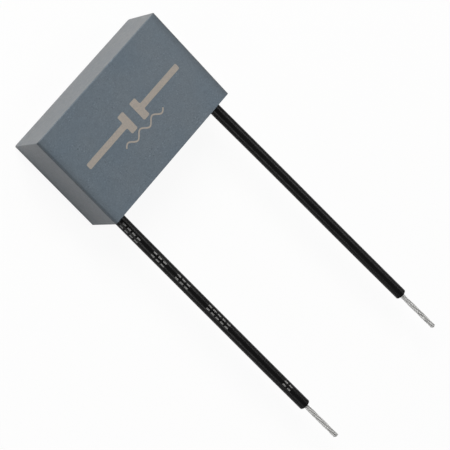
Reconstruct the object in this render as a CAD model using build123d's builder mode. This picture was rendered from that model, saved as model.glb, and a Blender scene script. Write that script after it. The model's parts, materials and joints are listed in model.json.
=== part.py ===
from build123d import *
from math import radians, tan
import os

# Film capacitor in a moulded box, millimetres.
# X runs along the box, +Y is the closed long side, the leads leave towards -Y, and +Z is the printed face.
# The origin is the middle of the back face, which the capacitor lies on.

# Moulded case
case_length = 38.5
case_width = 24.0
case_thickness = 13.0
case_wall = 1.0
side_edge_radius = 0.5
closed_edge_radius = 0.2
cavity_edge_radius = 1.0
draft_angle = 0.5
rim_chamfer = 0.2

# Potting
fill_recess = 0.8
meniscus_height = 0.45
meniscus_lip = 0.08
collar_spread = 0.5
collar_lip = 0.1
collar_height = 0.45

# Wound element, its zinc ends and its solder joints
element_side_clearance = 0.8
element_floor_clearance = 0.6
potting_over_element = 2.8
spray_thickness = 0.5
spray_inset = 0.25
spray_edge_chamfer = 0.15
solder_length = 7.0
solder_width = 4.2
solder_height = 2.0
solder_slope = 30.0
lead_end_in_solder = 2.5
lead_to_zinc_gap = 0.6

# Leads
conductor_diameter = 1.12
insulation_diameter = 2.65
lead_wall_clearance = 0.55
lead_above_middle = 1.3
insulation_in_potting = 2.4
left_strip_length = 11.1
right_strip_length = 11.9
arc_share = 0.45

# Route of each lead from where it leaves the potting: outwards from the middle, away from the box, upwards
left_route = [
    (0.07, -11.2, 0.00),
    (-0.05, 12.8, 0.00),
    (-0.47, 48.8, -0.44),
    (-0.98, 74.2, -1.00),
]
right_route = [
    (-0.48, -11.2, 0.00),
    (0.59, 12.8, 0.00),
    (2.10, 50.8, -0.44),
    (3.44, 77.0, -1.00),
]

# Places worked out from the sizes
cavity_length = case_length - 2 * case_wall
cavity_thickness = case_thickness - 2 * case_wall
cavity_depth = case_width - case_wall
mid_height = case_thickness / 2
rim_y = -case_width / 2
surface_y = rim_y + fill_recess
element_near_y = surface_y + potting_over_element
element_far_y = rim_y + cavity_depth - element_floor_clearance
winding_width = element_far_y - element_near_y
winding_thickness = cavity_thickness - 2 * element_side_clearance
element_mid_y = (element_near_y + element_far_y) / 2
lead_exit_x = cavity_length / 2 - lead_wall_clearance - insulation_diameter / 2
lead_height = mid_height + lead_above_middle
spray_face_x = lead_exit_x - conductor_diameter / 2 - lead_to_zinc_gap
winding_length = 2 * (spray_face_x - spray_thickness)

os.makedirs("parts", exist_ok=True)


def route_points(route, side):
    """The corners of one lead, side being -1 on the left and 1 on the right."""
    return [
        Vector(side * (lead_exit_x + outwards), surface_y - away, lead_height + rise)
        for outwards, away, rise in route
    ]


def corner_radii(points):
    """The largest radius that the two runs beside each corner leave room for."""
    radii = []
    for before, corner, after in zip(points, points[1:], points[2:]):
        shorter_run = min((corner - before).length, (after - corner).length)
        turn = (corner - before).get_angle(after - corner)
        radii.append(arc_share * shorter_run / tan(radians(turn / 2)))
    return radii


# Space inside the case: drawn in towards the closed side, with a rounded floor
with BuildPart() as cavity:
    with BuildSketch(Plane.XZ.offset(-rim_y)):
        with Locations((0, mid_height)):
            Rectangle(cavity_length, cavity_thickness)
    extrude(amount=-cavity_depth, taper=draft_angle)
    mouth_edges = cavity.faces().sort_by(Axis.Y)[0].edges()
    fillet(cavity.edges() - mouth_edges, cavity_edge_radius)

# Case: one moulding with five walls, open towards -Y
with BuildPart() as case:
    with BuildSketch(Plane.XZ.offset(rim_y)):
        with Locations((0, mid_height)):
            RectangleRounded(case_length, case_thickness, side_edge_radius)
    extrude(amount=case_width)
    fillet(case.faces().sort_by(Axis.Y)[-1].edges(), closed_edge_radius)
    add(cavity.part, mode=Mode.SUBTRACT)
    chamfer(case.faces().sort_by(Axis.Y)[0].inner_wires()[0].edges(), rim_chamfer)
case.part.label = "case"

# Winding: a roll of film pressed flat, its axis along X
with BuildPart() as film_winding:
    with BuildSketch(Plane.YZ):
        with Locations((element_mid_y, mid_height)):
            SlotOverall(winding_width, winding_thickness)
    extrude(amount=winding_length / 2, both=True)
film_winding.part.label = "film_winding"

contents = [film_winding]

for name, side, route, strip_length in (
    ("left", -1, left_route, left_strip_length),
    ("right", 1, right_route, right_strip_length),
):
    points = route_points(route, side)
    radii = corner_radii(points)
    print(f"{name} lead, corner radii in mm:", [round(radius) for radius in radii])

    # Conductor: soldered at its first point, bare from the end of the insulation to its tip
    with BuildPart() as conductor:
        with BuildLine() as lead_line:
            FilletPolyline(*points, radius=radii)
        with BuildSketch(Plane(origin=lead_line.line @ 0, z_dir=lead_line.line % 0)):
            Circle(conductor_diameter / 2)
        sweep()
    conductor.part.label = f"lead_{name}_conductor"

    # Insulation: a tube on the same line, from inside the potting to where it is stripped
    lead_wire = lead_line.wire()
    first_run = (points[1] - points[0]).normalized()
    exit_distance = (surface_y - points[0].Y) / first_run.Y
    sleeve_from = (exit_distance - insulation_in_potting) / lead_wire.length
    sleeve_to = 1 - strip_length / lead_wire.length
    sleeve_line = lead_wire.trim(sleeve_from, sleeve_to)
    with BuildPart() as insulation:
        with BuildSketch(Plane(origin=sleeve_line @ 0, z_dir=sleeve_line % 0)):
            Circle(insulation_diameter / 2)
            Circle(conductor_diameter / 2, mode=Mode.SUBTRACT)
        sweep(path=sleeve_line)
    insulation.part.label = f"lead_{name}_insulation"

    # Zinc layer sprayed on the end of the roll
    with BuildPart() as end_spray:
        with BuildSketch(Plane.YZ.offset(side * winding_length / 2)):
            with Locations((element_mid_y, mid_height)):
                SlotOverall(winding_width - 2 * spray_inset, winding_thickness - 2 * spray_inset)
        extrude(amount=side * spray_thickness)
        outwards = Axis((0, 0, 0), (side, 0, 0))
        chamfer(end_spray.faces().sort_by(outwards)[-1].edges(), spray_edge_chamfer)
    end_spray.part.label = f"end_spray_{name}"

    # Solder: a sloping mound on the zinc, along the lead, that holds the end of the conductor
    solder_mid_y = points[0].Y + lead_end_in_solder - solder_length / 2
    spray_face = Plane(
        origin=(side * spray_face_x, solder_mid_y, lead_height), x_dir=(0, 1, 0), z_dir=(side, 0, 0)
    )
    with BuildPart() as solder_joint:
        with BuildSketch(spray_face):
            SlotOverall(solder_length, solder_width)
        extrude(amount=solder_height, taper=solder_slope)
        add(conductor.part, mode=Mode.SUBTRACT)
    solder_joint.part.label = f"solder_joint_{name}"

    contents += [conductor, insulation, end_spray, solder_joint]

# Potting: fills the space round the element, and creeps up the walls and the leads at its surface
with BuildPart() as epoxy_fill:
    add(cavity.part)
    split(bisect_by=Plane.XZ.offset(meniscus_height - surface_y), keep=Keep.BOTTOM)
    with BuildSketch(Plane.XZ.offset(meniscus_height - surface_y)):
        with Locations((0, mid_height)):
            RectangleRounded(
                cavity_length - 2 * meniscus_lip,
                cavity_thickness - 2 * meniscus_lip,
                cavity_edge_radius - meniscus_lip,
            )
    extrude(amount=-meniscus_height, mode=Mode.SUBTRACT)
    pool = epoxy_fill.faces().filter_by(Axis.Y).group_by(Axis.Y)[1]
    fillet(pool.edges(), meniscus_height - meniscus_lip)
    for side in (-1, 1):
        lead_exit = Plane.XZ.offset(-surface_y).shift_origin((side * lead_exit_x, surface_y, lead_height))
        with BuildSketch(lead_exit):
            Circle(insulation_diameter / 2 + collar_spread)
        with BuildSketch(lead_exit.offset(collar_height)):
            Circle(insulation_diameter / 2 + collar_lip)
        loft()
    add(cavity.part, mode=Mode.INTERSECT)
    for piece in contents:
        add(piece.part, mode=Mode.SUBTRACT)
epoxy_fill.part.label = "epoxy_fill"

for piece in [case, epoxy_fill, *contents]:
    export_step(piece.part, f"parts/{piece.part.label}.step")
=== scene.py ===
import json
import math

import bmesh
import bpy
from mathutils import Matrix, Vector, noise


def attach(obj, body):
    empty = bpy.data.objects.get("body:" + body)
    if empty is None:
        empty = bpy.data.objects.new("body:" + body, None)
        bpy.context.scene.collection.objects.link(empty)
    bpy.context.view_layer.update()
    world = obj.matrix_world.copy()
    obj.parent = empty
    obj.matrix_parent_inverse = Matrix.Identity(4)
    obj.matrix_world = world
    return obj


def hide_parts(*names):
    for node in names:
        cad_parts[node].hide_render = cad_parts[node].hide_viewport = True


# Film capacitor in a moulded box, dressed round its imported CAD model. Metres, in the frame of the CAD.
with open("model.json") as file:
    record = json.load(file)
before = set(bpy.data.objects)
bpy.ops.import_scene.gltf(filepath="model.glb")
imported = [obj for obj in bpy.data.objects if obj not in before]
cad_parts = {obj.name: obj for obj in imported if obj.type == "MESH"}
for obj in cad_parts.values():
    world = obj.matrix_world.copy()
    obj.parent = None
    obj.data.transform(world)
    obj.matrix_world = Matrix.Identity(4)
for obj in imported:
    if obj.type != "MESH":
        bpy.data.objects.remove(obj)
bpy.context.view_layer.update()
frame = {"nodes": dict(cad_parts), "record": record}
nodes = frame["nodes"]

MM = 0.001
PICTURE_SIDE = 450

# Camera, solved from the corners of the case in the photograph
FOCAL_PIXELS = 1850.0
SENSOR_WIDTH = 36.0
CAMERA_PLACE = Vector((-127.22, 98.02, 365.13)) * MM
CAMERA_VIEW = Vector((0.31671, -0.32534, -0.89098)).normalized()
CAMERA_UP = Vector((0.73003, 0.68334, 0.00998))

# Case, and the painted shade along its side edges: how dark it paints the edges and the faces beside them,
# and how far from the ends and from the middle height that painted shade changes, in millimetres
CASE_HALF_LENGTH = 19.25
CASE_THICKNESS = 13.0
EDGE_SHADE = 0.76
EDGE_INSETS = (0.30, 0.80)
BESIDE_EDGE_SHADE = 0.80
BESIDE_EDGE_INSETS = (0.40, 2.30)
BROAD_FACE_HEIGHTS = (6.0, 6.3)

# Leads, each along a few points from its solder joint to its tip
INSULATION_RADIUS = 1.325 * MM
CONDUCTOR_RADIUS = 0.56 * MM
POTTING_SURFACE_Y = -11.2 * MM
INSULATION_IN_POTTING = 2.4 * MM
LEADS = {
    "left": {
        "route": [
            (-0.016445, 0.0, 0.0078),
            (-0.016325, -0.0240, 0.0078),
            (-0.015905, -0.0600, 0.00736),
            (-0.015395, -0.0854, 0.0068),
        ],
        "bare": 0.0111,
    },
    "right": {
        "route": [
            (0.015895, 0.0, 0.0078),
            (0.016965, -0.0240, 0.0078),
            (0.018475, -0.0620, 0.00736),
            (0.019815, -0.0882, 0.0068),
        ],
        "bare": 0.0119,
    },
}
LINE_STEPS = 110
LEAST_STEP = 0.05 * MM

# Insulation: how uneven it is, the rounded rim at its stripped end, and its bore
INSULATION_SIDES = 40
INSULATION_WAVE = 0.012 * MM
WAVES_PER_METRE = 120.0
RIM_RADIUS = 0.10 * MM
RIM_TURNS = (0, 30, 60, 90)
BORE_RADIUS = CONDUCTOR_RADIUS + 0.03 * MM
BORE_EDGE = 0.05 * MM
BORE_EDGE_DEPTH = 0.04 * MM

# Strands: one in the middle and six round it, each cut shorter than the line by its own length
STRAND_SIDES = 10
STRAND_RADIUS = 0.187 * MM
STRAND_PITCH = 24.0 * MM
STRAND_CUTS = [cut * MM for cut in (0.0, 0.10, 0.0, 0.22, 0.06, 0.16, 0.03)]
STRAND_LOOSENESS = 0.025 * MM
STRAND_WANDER = 0.16
WANDERS_PER_METRE = 300.0
WANDER_APART = 3.1
STRAND_TIP = 0.05 * MM
STRAND_TIP_RADIUS = 0.7 * STRAND_RADIUS

# Dashes on the left lead, in millimetres. The turns are the places across a dash, in half widths. The dashes
# stand in pairs, and the pairs in groups: each group has its start along the insulation, its number of pairs,
# and its angle round the lead in degrees.
DASH_LENGTH = 0.95
DASH_HALF_WIDTH = 0.16
DASH_TURNS = (-1, -0.5, 0, 0.5, 1)
DASH_FROM_MIDDLE = 0.42
DASH_PITCH = 1.5
DASH_OUTSIDE = 1.337
DASH_INSIDE = 1.31
DASH_GROUPS = ((5.2, 4, 38), (14.6, 3, 20), (22.0, 3, 11), (32.0, 5, 6), (57.4, 2, 4))

# Print on the broad face, in millimetres: a capacitor sign, a wave under it, and the heights of the ink
SIGN_MIDDLE = 0.55
SIGN_HALF_LENGTH = 14.9
SIGN_LINE = 0.70
SIGN_CORNER = 0.15
PLATE_HALF_HEIGHT = 2.4
PLATE_NEAR = 1.1
PLATE_FAR = 2.9
WAVE_MIDDLE = -3.05
WAVE_HALF_LENGTH = 6.1
WAVE_HEIGHT = 0.62
WAVE_LINE = 0.17
WAVE_TURNS = 3
WAVE_STEPS = 80
INK_BOTTOM = 12.985
INK_TOP = 13.02

# Colours, linear: each material drifts between two
COLOURS = {
    "case_plastic": ((0.0985, 0.125, 0.150, 1.0), (0.0865, 0.117, 0.147, 1.0)),
    "potting": ((0.010, 0.010, 0.011, 1.0), (0.016, 0.016, 0.018, 1.0)),
    "lead_insulation": ((0.0022, 0.0022, 0.0024, 1.0), (0.0036, 0.0036, 0.0038, 1.0)),
    "film": ((0.42, 0.45, 0.48, 1.0), (0.62, 0.64, 0.66, 1.0)),
    "tinned_copper": ((0.56, 0.56, 0.55, 1.0), (0.64, 0.64, 0.63, 1.0)),
    "solder": ((0.50, 0.51, 0.52, 1.0), (0.66, 0.67, 0.68, 1.0)),
    "zinc": ((0.28, 0.29, 0.31, 1.0), (0.44, 0.45, 0.46, 1.0)),
    "case_print": ((0.26, 0.24, 0.22, 1.0), (0.328, 0.291, 0.251, 1.0)),
    "lead_print": ((0.12, 0.12, 0.12, 1.0), (0.26, 0.26, 0.255, 1.0)),
}
CASE_SHEEN = (1.0, 0.88, 0.78, 1.0)
FLOOR_COLOUR = (0.80, 0.80, 0.80, 1.0)
WHITE = (1.0, 1.0, 1.0, 1.0)

# Share of plain white in the backdrop, for the camera and for reflections
BACKDROP_SEEN = 0.93
BACKDROP_MIRRORED = 0.25
FLOOR_HALF_SIDE = 3.0

# Studio: the level of the world at the horizon and overhead, and how high it fades from one to the other
HORIZON_LEVEL = 0.30
OVERHEAD_LEVEL = 0.10
FADE_HEIGHT = 0.65

# Soft square lamps, each with its place, side, power and colour
LAMP_TARGET = Vector((0.0, -0.02, 0.006))
LAMPS = {
    "key": ((0.15, 0.47, 0.54), 0.40, 5.75, (1.0, 0.985, 0.96)),
    "fill": ((-0.54, -0.26, 0.29), 0.16, 0.54, (1.0, 1.0, 1.0)),
    "side": ((0.43, -0.25, 0.50), 0.22, 0.8, (1.0, 1.0, 1.0)),
}


def link(made):
    """Puts an object into the scene."""
    bpy.context.scene.collection.objects.link(made)
    return made


# Camera
camera_data = bpy.data.cameras.new("camera")
camera_data.sensor_width = SENSOR_WIDTH
camera_data.lens = SENSOR_WIDTH * FOCAL_PIXELS / PICTURE_SIDE
camera_data.clip_start = 0.01
camera_data.clip_end = 20.0
camera = link(bpy.data.objects.new("camera", camera_data))
camera_right = CAMERA_VIEW.cross(CAMERA_UP).normalized()
camera_up = camera_right.cross(CAMERA_VIEW)
camera_turn = Matrix((camera_right, camera_up, -CAMERA_VIEW)).transposed().to_4x4()
camera.matrix_world = Matrix.Translation(CAMERA_PLACE) @ camera_turn
bpy.context.scene.camera = camera


# Materials
def node(tree, kind, inputs=None, **settings):
    """A new shader node; each input is a value or another node's socket."""
    made = tree.nodes.new("ShaderNode" + kind)
    for name, value in settings.items():
        setattr(made, name, value)
    for name, value in (inputs or {}).items():
        if isinstance(value, bpy.types.NodeSocket):
            tree.links.new(value, made.inputs[name])
        else:
            made.inputs[name].default_value = value
    return made


def new_material(name, **inputs):
    """A Principled material, its tree, its shader and its coordinates in millimetres."""
    made = bpy.data.materials.new(name)
    made.use_nodes = True
    tree = made.node_tree
    shader = tree.nodes["Principled BSDF"]
    for key, value in inputs.items():
        shader.inputs[key.replace("_", " ")].default_value = value
    place = node(tree, "TexCoord").outputs["Object"]
    mm = node(tree, "VectorMath", {0: place, "Scale": 1000.0}, operation="SCALE").outputs["Vector"]
    return made, tree, shader, mm


def noise_of(tree, place, scale, detail=2.0, roughness=0.5):
    """Noise at a place, with its scale in patches to the millimetre where the place is in millimetres."""
    inputs = {"Vector": place, "Scale": scale, "Detail": detail, "Roughness": roughness}
    return node(tree, "TexNoise", inputs).outputs["Fac"]


def to_range(tree, value, low, high, from_low=0.3, from_high=0.7, smooth=False):
    """Takes a value from one range to another, and holds it at the ends."""
    inputs = {"Value": value, "From Min": from_low, "From Max": from_high, "To Min": low, "To Max": high}
    kind = "SMOOTHSTEP" if smooth else "LINEAR"
    return node(tree, "MapRange", inputs, interpolation_type=kind).outputs["Result"]


def math_of(tree, operation, first, second=0.0):
    """The result of a sum; each of the two is a value or a socket."""
    return node(tree, "Math", {0: first, 1: second}, operation=operation).outputs["Value"]


def mix_of(tree, share, first, second, blend="MIX"):
    """A mix of two colours; the colour sockets of the node are its seventh and eighth."""
    made = node(tree, "Mix", data_type="RGBA", blend_type=blend)
    sockets = (made.inputs["Factor"], made.inputs[6], made.inputs[7])
    for socket, value in zip(sockets, (share, first, second)):
        if isinstance(value, bpy.types.NodeSocket):
            tree.links.new(value, socket)
        else:
            socket.default_value = value
    return made.outputs[2]


def bump_of(tree, height, depth, normal=None):
    """A normal bent by relief of this depth, on top of another normal where one is given."""
    inputs = {"Height": height, "Distance": depth}
    if normal is not None:
        inputs["Normal"] = normal
    return node(tree, "Bump", inputs).outputs["Normal"]


def painted_edge_shade(tree, mm):
    """Painted shade: darkens the colour of the rounded edges between broad faces and ends, and a little of
    the faces beside them.
    """
    place = node(tree, "SeparateXYZ", {"Vector": mm}).outputs
    inset = math_of(tree, "SUBTRACT", CASE_HALF_LENGTH, math_of(tree, "ABSOLUTE", place["X"]))
    from_middle = math_of(tree, "ABSOLUTE", math_of(tree, "SUBTRACT", place["Z"], CASE_THICKNESS / 2))
    on_broad_face = to_range(tree, from_middle, 0.0, 1.0, *BROAD_FACE_HEIGHTS, smooth=True)
    edge = to_range(tree, inset, EDGE_SHADE, 1.0, *EDGE_INSETS, smooth=True)
    beside = to_range(tree, inset, BESIDE_EDGE_SHADE, 1.0, *BESIDE_EDGE_INSETS, smooth=True)
    shade = math_of(tree, "MULTIPLY", edge, beside)
    return to_range(tree, on_broad_face, low=1.0, high=shade, from_low=0.0, from_high=1.0)


def case_material():
    """Satin moulded plastic: a slow drift of colour, a fine spark-eroded grain, and painted shade on its side
    edges.
    """
    made, tree, shader, mm = new_material(
        "case_plastic", Sheen_Weight=0.27, Sheen_Roughness=0.45, Sheen_Tint=CASE_SHEEN
    )
    drift = to_range(tree, noise_of(tree, mm, scale=0.11), low=0.0, high=1.0)
    mottle = noise_of(tree, mm, scale=0.9, detail=3.0, roughness=0.6)
    grain = noise_of(tree, mm, scale=4.2, roughness=0.6)
    specks = noise_of(tree, mm, scale=3.0, detail=1.0, roughness=0.4)
    patches = noise_of(tree, mm, scale=0.16, detail=1.0)
    colour = mix_of(tree, drift, *COLOURS["case_plastic"])
    mottle_shade = to_range(tree, mottle, low=0.95, high=1.05)
    grain_shade = to_range(tree, grain, low=-0.12, high=0.12)
    bright = to_range(tree, specks, low=0.0, high=0.5, from_low=0.62, from_high=0.74)
    dark = to_range(tree, specks, low=-0.4, high=0.0, from_low=0.26, from_high=0.38)
    speck_share = to_range(tree, patches, low=0.2, high=1.0)
    speck_shade = math_of(tree, "MULTIPLY", math_of(tree, "ADD", bright, dark), speck_share)
    shade = math_of(tree, "ADD", math_of(tree, "ADD", mottle_shade, grain_shade), speck_shade)
    # The tone of the grain and specks is multiplied by painted shade along the rounded side edges
    shade = math_of(tree, "MULTIPLY", shade, painted_edge_shade(tree, mm))
    colour = mix_of(tree, 1.0, colour, shade, "MULTIPLY")
    tree.links.new(colour, shader.inputs["Base Color"])
    tree.links.new(to_range(tree, mottle, low=0.40, high=0.50), shader.inputs["Roughness"])
    height = math_of(tree, "ADD", grain, math_of(tree, "MULTIPLY", mottle, 1.5))
    tree.links.new(bump_of(tree, height, 0.012 * MM), shader.inputs["Normal"])
    return made


def potting_material():
    """Cast epoxy: dark and glossy, nearly level, with a few small pits."""
    made, tree, shader, mm = new_material("potting")
    tint = to_range(tree, noise_of(tree, mm, scale=0.35, detail=3.0), low=0.0, high=1.0)
    tree.links.new(mix_of(tree, tint, *COLOURS["potting"]), shader.inputs["Base Color"])
    pits = node(tree, "TexVoronoi", {"Vector": mm, "Scale": 0.9}).outputs["Distance"]
    pit = to_range(tree, pits, low=0.0, high=1.0, from_low=0.05, from_high=0.16, smooth=True)
    waves = noise_of(tree, mm, scale=0.5, detail=1.0)
    normal = bump_of(tree, waves, depth=0.10 * MM)
    tree.links.new(bump_of(tree, pit, depth=0.05 * MM, normal=normal), shader.inputs["Normal"])
    tree.links.new(to_range(tree, waves, low=0.20, high=0.30), shader.inputs["Roughness"])
    return made


def insulation_material():
    """Extruded black insulation: satin, drawn out along the lead."""
    made, tree, shader, mm = new_material("lead_insulation", Specular_IOR_Level=0.14)
    drawn = node(tree, "Mapping", {"Vector": mm, "Scale": (2.2, 0.35, 2.2)}).outputs["Vector"]
    streak = noise_of(tree, drawn, scale=1.0, detail=3.0, roughness=0.55)
    grain = noise_of(tree, mm, scale=5.0)
    tree.links.new(mix_of(tree, streak, *COLOURS["lead_insulation"]), shader.inputs["Base Color"])
    tree.links.new(to_range(tree, streak, low=0.27, high=0.34), shader.inputs["Roughness"])
    normal = bump_of(tree, streak, depth=0.03 * MM)
    tree.links.new(bump_of(tree, grain, depth=0.0015 * MM, normal=normal), shader.inputs["Normal"])
    return made


def metal_material(name, scale, rough, depth, metallic=1.0):
    """A metal with a mottled colour and roughness and a little relief."""
    made, tree, shader, mm = new_material(name, Metallic=metallic)
    spots = noise_of(tree, mm, scale, detail=3.0, roughness=0.6)
    share = to_range(tree, spots, low=0.0, high=1.0)
    tree.links.new(mix_of(tree, share, *COLOURS[name]), shader.inputs["Base Color"])
    tree.links.new(to_range(tree, spots, *rough), shader.inputs["Roughness"])
    tree.links.new(bump_of(tree, spots, depth), shader.inputs["Normal"])
    return made


def film_material():
    """Metallised film, its wound layers showing as fine lines along the roll."""
    made, tree, shader, mm = new_material("film", Metallic=0.7)
    lines = node(tree, "Mapping", {"Vector": mm, "Scale": (0.05, 6.0, 6.0)}).outputs["Vector"]
    layers = noise_of(tree, lines, scale=1.0, detail=3.0)
    tree.links.new(mix_of(tree, layers, *COLOURS["film"]), shader.inputs["Base Color"])
    tree.links.new(to_range(tree, layers, low=0.18, high=0.34), shader.inputs["Roughness"])
    tree.links.new(bump_of(tree, layers, depth=0.01 * MM), shader.inputs["Normal"])
    return made


def ink_material(name):
    """Printed ink: matt, a little uneven where the grain under it shows."""
    made, tree, shader, mm = new_material(name)
    cover = noise_of(tree, mm, scale=3.2, detail=3.0, roughness=0.65)
    share = to_range(tree, cover, low=0.0, high=1.0)
    tree.links.new(mix_of(tree, share, *COLOURS[name]), shader.inputs["Base Color"])
    tree.links.new(to_range(tree, cover, low=0.45, high=0.60), shader.inputs["Roughness"])
    tree.links.new(bump_of(tree, cover, depth=0.008 * MM), shader.inputs["Normal"])
    return made


MATERIALS = {
    "case_plastic": case_material(),
    "potting": potting_material(),
    "lead_insulation": insulation_material(),
    "film": film_material(),
    "tinned_copper": metal_material(
        "tinned_copper", scale=0.8, rough=(0.38, 0.46), depth=0.002 * MM, metallic=0.75
    ),
    "solder": metal_material("solder", scale=0.8, rough=(0.18, 0.34), depth=0.05 * MM),
    "zinc": metal_material("zinc", scale=3.5, rough=(0.55, 0.75), depth=0.06 * MM, metallic=0.8),
}
CASE_PRINT = ink_material("case_print")
LEAD_PRINT = ink_material("lead_print")


# Leads
def lead_line(name, route):
    """The points of the smooth line that a lead follows."""
    curve = bpy.data.curves.new(name, "CURVE")
    curve.dimensions = "3D"
    spline = curve.splines.new("NURBS")
    spline.points.add(len(route) - 1)
    for point, place in zip(spline.points, route):
        point.co = (*place, 1.0)
    spline.order_u = 3
    spline.use_endpoint_u = True
    spline.resolution_u = LINE_STEPS
    holder = bpy.data.objects.new(name, curve)
    bare = bpy.data.meshes.new_from_object(holder)
    line = [vertex.co.copy() for vertex in bare.vertices]
    bpy.data.meshes.remove(bare)
    bpy.data.objects.remove(holder)
    bpy.data.curves.remove(curve)
    return line


def along(line):
    """The distance of each point of a line from its start."""
    distances = [0.0]
    for before, after in zip(line, line[1:]):
        distances.append(distances[-1] + (after - before).length)
    return distances


def point_at(line, distance):
    """The point of a line at a distance from its start."""
    distances = along(line)
    for before, after, near, far in zip(line, line[1:], distances, distances[1:]):
        if distance <= far:
            return before.lerp(after, (distance - near) / (far - near))
    return line[-1].copy()


def stretch(line, start, end):
    """The part of a line between two distances from its start, with no step too short before its end."""
    distances = along(line)
    part = []
    for before, after, near, far in zip(line, line[1:], distances, distances[1:]):
        if near <= start < far:
            part.append(before.lerp(after, (start - near) / (far - near)))
        if start < far < end - LEAST_STEP:
            part.append(after)
    part.append(point_at(line, end))
    return part


def frames(line):
    """At each point of a line: the point, its direction, the side that faces up and the side across."""
    made = []
    for i, point in enumerate(line):
        direction = (line[min(i + 1, len(line) - 1)] - line[max(i - 1, 0)]).normalized()
        across = direction.cross(Vector((0, 0, 1))).normalized()
        made.append((point, direction, across.cross(direction), across))
    return made


def ring(place, up, across, radius, count):
    """A circle of points, the first on the upper side; its radius is a number or depends on the angle."""
    points = []
    for i in range(count):
        angle = math.tau * i / count
        size = radius(angle) if callable(radius) else radius
        points.append(place + (up * math.cos(angle) + across * math.sin(angle)) * size)
    return points


def mesh_piece(name, vertices, faces, material, slot=None, smooth=True):
    """A mesh object made of vertices and faces, riding on the one body."""
    mesh = bpy.data.meshes.new(name)
    mesh.from_pydata([tuple(v) for v in vertices], [], faces)
    mesh.materials.append(material)
    work = bmesh.new()
    work.from_mesh(mesh)
    bmesh.ops.recalc_face_normals(work, faces=work.faces)
    work.to_mesh(mesh)
    work.free()
    if smooth:
        mesh.shade_smooth()
    made = link(bpy.data.objects.new(name, mesh))
    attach(made, "root")
    return made


def skin(rings, closed):
    """Vertices and faces of a tube through rings of points: closed on itself, or with a cap at each end."""
    count = len(rings[0])
    vertices = [point for points in rings for point in points]
    faces = []
    for i in range(len(rings) if closed else len(rings) - 1):
        near, far = i * count, (i + 1) % len(rings) * count
        for j in range(count):
            k = (j + 1) % count
            faces.append((near + j, near + k, far + k, far + j))
    if not closed:
        faces.append(tuple(range(count)))
        faces.append(tuple(range(len(vertices) - count, len(vertices))))
    return vertices, faces


def uneven_radius(y):
    """The radius of the insulation at each angle, where the lead passes a place along Y."""

    def radius(angle):
        lobe = Vector((math.cos(angle), math.sin(angle), y * WAVES_PER_METRE))
        return INSULATION_RADIUS + INSULATION_WAVE * noise.noise(lobe)

    return radius


def insulation_piece(name, line):
    """An insulating tube with a round bore and the rounded rim that a stripper leaves."""
    steps = frames(line)
    rings = []
    for place, _, up, across in steps[:-1]:
        rings.append(ring(place, up, across, uneven_radius(place.y), INSULATION_SIDES))
    place, direction, up, across = steps[-1]
    for turn in RIM_TURNS:
        inwards = RIM_RADIUS * (1 - math.cos(math.radians(turn)))
        back = RIM_RADIUS * (1 - math.sin(math.radians(turn)))
        rim_place = place - direction * back
        rings.append(ring(rim_place, up, across, INSULATION_RADIUS - inwards, INSULATION_SIDES))
    rings.append(ring(place, up, across, BORE_RADIUS + BORE_EDGE, INSULATION_SIDES))
    rings.append(ring(place - direction * BORE_EDGE_DEPTH, up, across, BORE_RADIUS, INSULATION_SIDES))
    for place, _, up, across in reversed(steps[:-1]):
        rings.append(ring(place, up, across, BORE_RADIUS, INSULATION_SIDES))
    return mesh_piece(name, *skin(rings, True), MATERIALS["lead_insulation"], "lead_insulation")


def strands_piece(name, line, bare):
    """Seven tinned strands: one straight and six laid round it, spreading a little where they are bare."""
    steps = frames(line)
    distances = along(line)
    total = distances[-1]
    vertices, faces = [], []
    for strand, cut in enumerate(STRAND_CUTS):
        path = []
        for (place, _, up, across), distance in zip(steps, distances):
            if distance > total - cut:
                break
            loose = min(1.0, max(0.0, (distance - (total - bare)) / bare))
            spread = STRAND_LOOSENESS * math.sin(math.pi * loose) ** 2
            offset = 0.0 if strand == 0 else 2 * STRAND_RADIUS + spread
            angle = math.tau * (strand / (len(STRAND_CUTS) - 1) - distance / STRAND_PITCH)
            wander_place = Vector((strand * WANDER_APART, distance * WANDERS_PER_METRE, 0.0))
            angle += STRAND_WANDER * noise.noise(wander_place)
            path.append(place + (up * math.cos(angle) + across * math.sin(angle)) * offset)
        path_steps = frames(path)
        rings = []
        for place, _, up, across in path_steps:
            rings.append(ring(place, up, across, STRAND_RADIUS, STRAND_SIDES))
        place, direction, up, across = path_steps[-1]
        rings.append(ring(place + direction * STRAND_TIP, up, across, STRAND_TIP_RADIUS, STRAND_SIDES))
        strand_vertices, strand_faces = skin(rings, False)
        first = len(vertices)
        vertices += strand_vertices
        faces += [tuple(first + i for i in face) for face in strand_faces]
    return mesh_piece(name, vertices, faces, MATERIALS["tinned_copper"], "tinned_copper")


sleeve_lines = {}
pieces_on_lead = {}
for side, lead in LEADS.items():
    line = lead_line(f"lead_{side}_line", lead["route"])
    total = along(line)[-1]
    exit_distance = next(d for d, p in zip(along(line), line) if p.y <= POTTING_SURFACE_Y)
    sleeve_lines[side] = stretch(line, exit_distance - INSULATION_IN_POTTING, total - lead["bare"])
    strands = strands_piece(f"lead_{side}_strands", line, lead["bare"])
    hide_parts(f"lead_{side}_conductor")
    pieces_on_lead[side] = [strands]
    insulation_piece(f"lead_{side}_sleeve", sleeve_lines[side])
    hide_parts(f"lead_{side}_insulation")


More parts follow.
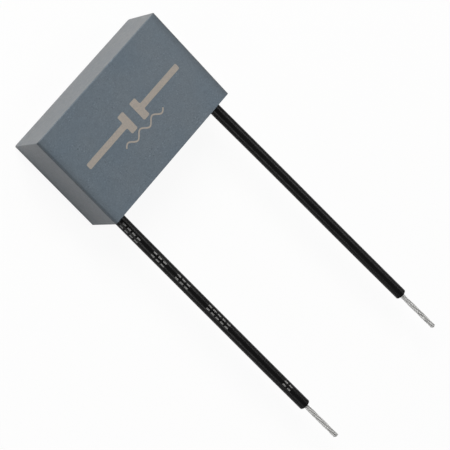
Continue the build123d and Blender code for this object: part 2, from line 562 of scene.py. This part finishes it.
def dashes_piece(name, line, dashes):
    """Short plain dashes on the insulation, each at a distance along it and an angle from the top."""
    half_width = DASH_HALF_WIDTH * MM / INSULATION_RADIUS
    vertices, faces = [], []
    for distance, angle in dashes:
        rings = []
        for place, _, up, across in frames(stretch(line, distance, distance + DASH_LENGTH * MM)):
            section = []
            for radius, turns in ((DASH_OUTSIDE, DASH_TURNS), (DASH_INSIDE, DASH_TURNS[::-1])):
                for turn in turns:
                    a = angle + turn * half_width
                    section.append(place + (up * math.cos(a) + across * math.sin(a)) * radius * MM)
            rings.append(section)
        dash_vertices, dash_faces = skin(rings, False)
        first = len(vertices)
        vertices += dash_vertices
        faces += [tuple(first + i for i in face) for face in dash_faces]
    return mesh_piece(name, vertices, faces, LEAD_PRINT, smooth=False)


dashes = []
for start, pairs, turn in DASH_GROUPS:
    for pair in range(pairs):
        for way in (-1, 1):
            angle = math.radians(turn) + way * DASH_FROM_MIDDLE * MM / INSULATION_RADIUS
            dashes.append(((start + pair * DASH_PITCH) * MM, angle))
pieces_on_lead["left"].append(dashes_piece("lead_left_print", sleeve_lines["left"], dashes))

# CAD nodes that stay, each with the material of its slot
for row in frame["record"]["subparts"]:
    data = nodes[row["node"]].data
    data.materials.clear()
    data.materials.append(MATERIALS[row["material_slot"]])


# Print on the broad face: a plain capacitor sign, and a wave for alternating current
def flat_ink(name, outlines, corner):
    """Thin flat ink in the shapes of outlines on the broad face, joined where they meet."""
    work = bmesh.new()
    for outline in outlines:
        corners = [work.verts.new((x * MM, y * MM, INK_BOTTOM * MM)) for x, y in outline]
        face = work.faces.new(corners)
        if corner:
            bmesh.ops.bevel(work, geom=list(face.verts), offset=corner * MM, segments=3, affect="VERTICES")
    bmesh.ops.remove_doubles(work, verts=work.verts, dist=0.001 * MM)
    grown = bmesh.ops.extrude_face_region(work, geom=list(work.faces))
    raised = [item for item in grown["geom"] if isinstance(item, bmesh.types.BMVert)]
    bmesh.ops.translate(work, vec=(0, 0, (INK_TOP - INK_BOTTOM) * MM), verts=raised)
    bmesh.ops.recalc_face_normals(work, faces=work.faces)
    mesh = bpy.data.meshes.new(name)
    work.to_mesh(mesh)
    work.free()
    mesh.materials.append(CASE_PRINT)
    made = link(bpy.data.objects.new(name, mesh))
    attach(made, "root")


half_sign = [
    (PLATE_NEAR, -PLATE_HALF_HEIGHT),
    (PLATE_FAR, -PLATE_HALF_HEIGHT),
    (PLATE_FAR, -SIGN_LINE),
    (SIGN_HALF_LENGTH, -SIGN_LINE),
    (SIGN_HALF_LENGTH, SIGN_LINE),
    (PLATE_FAR, SIGN_LINE),
    (PLATE_FAR, PLATE_HALF_HEIGHT),
    (PLATE_NEAR, PLATE_HALF_HEIGHT),
]
sign = [[(side * x, SIGN_MIDDLE + y) for x, y in half_sign][::side] for side in (1, -1)]
flat_ink("case_print_sign", sign, SIGN_CORNER)

wave_upper, wave_lower = [], []
for i in range(WAVE_STEPS + 1):
    share = i / WAVE_STEPS
    x = WAVE_HALF_LENGTH * (2 * share - 1)
    phase = math.tau * WAVE_TURNS * share
    slope = WAVE_HEIGHT * math.tau * WAVE_TURNS * math.cos(phase) / (2 * WAVE_HALF_LENGTH)
    across = Vector((-slope, 1.0)).normalized() * WAVE_LINE
    y = WAVE_MIDDLE + WAVE_HEIGHT * math.sin(phase)
    wave_upper.append((x + across.x, y + across.y))
    wave_lower.append((x - across.x, y - across.y))
wave = [
    [wave_upper[i], wave_lower[i], wave_lower[i + 1], wave_upper[i + 1]]
    for i in range(WAVE_STEPS)
]
flat_ink("case_print_wave", wave, 0.0)


def backdrop_share(tree):
    """How much plain white the floor and the world show: most to the camera, some in gloss, else none."""
    rays = node(tree, "LightPath").outputs
    reflected = math_of(tree, "MAXIMUM", rays["Is Glossy Ray"], rays["Is Transmission Ray"])
    seen = math_of(tree, "MULTIPLY", rays["Is Camera Ray"], BACKDROP_SEEN)
    mirrored = math_of(tree, "MULTIPLY", reflected, BACKDROP_MIRRORED)
    return math_of(tree, "MAXIMUM", seen, mirrored)


# Floor
floor_mesh = bpy.data.meshes.new("floor")
floor_signs = ((-1, -1), (1, -1), (1, 1), (-1, 1))
floor_corners = [(x * FLOOR_HALF_SIDE, y * FLOOR_HALF_SIDE, 0) for x, y in floor_signs]
floor_mesh.from_pydata(floor_corners, [], [(0, 1, 2, 3)])
floor = link(bpy.data.objects.new("floor", floor_mesh))
floor_material = bpy.data.materials.new("floor")
floor_material.use_nodes = True
tree = floor_material.node_tree
tree.nodes.remove(tree.nodes["Principled BSDF"])
lit = node(tree, "BsdfDiffuse", {"Color": FLOOR_COLOUR}).outputs["BSDF"]
white = node(tree, "Emission", {"Color": WHITE, "Strength": 1.0}).outputs["Emission"]
floor_mix = node(tree, "MixShader", {0: backdrop_share(tree), 1: lit, 2: white}).outputs["Shader"]
tree.links.new(floor_mix, tree.nodes["Material Output"].inputs["Surface"])
floor_mesh.materials.append(floor_material)

# World: a plain grey studio, paler towards the horizon, white where the camera sees it
world = bpy.data.worlds.new("studio")
bpy.context.scene.world = world
world.use_nodes = True
tree = world.node_tree
direction = node(tree, "TexCoord").outputs["Generated"]
height = node(tree, "SeparateXYZ", {"Vector": direction}).outputs["Z"]
level = to_range(tree, height, HORIZON_LEVEL, OVERHEAD_LEVEL, 0.0, FADE_HEIGHT)
background = tree.nodes["Background"]
tree.links.new(level, background.inputs["Strength"])
background.inputs["Color"].default_value = WHITE
white = node(tree, "Background", {"Color": WHITE, "Strength": 1.0}).outputs["Background"]
lit = background.outputs["Background"]
world_mix = node(tree, "MixShader", {0: backdrop_share(tree), 1: lit, 2: white}).outputs["Shader"]
tree.links.new(world_mix, tree.nodes["World Output"].inputs["Surface"])


# Lamps
for name, (place, size, power, colour) in LAMPS.items():
    lamp_data = bpy.data.lights.new(name, "AREA")
    lamp_data.size = size
    lamp_data.energy = power
    lamp_data.color = colour
    lamp = link(bpy.data.objects.new(name, lamp_data))
    lamp.location = place
    lamp.rotation_mode = "QUATERNION"
    lamp.rotation_quaternion = (LAMP_TARGET - Vector(place)).to_track_quat("-Z", "Y")

bpy.context.scene.view_settings.view_transform = "Standard"
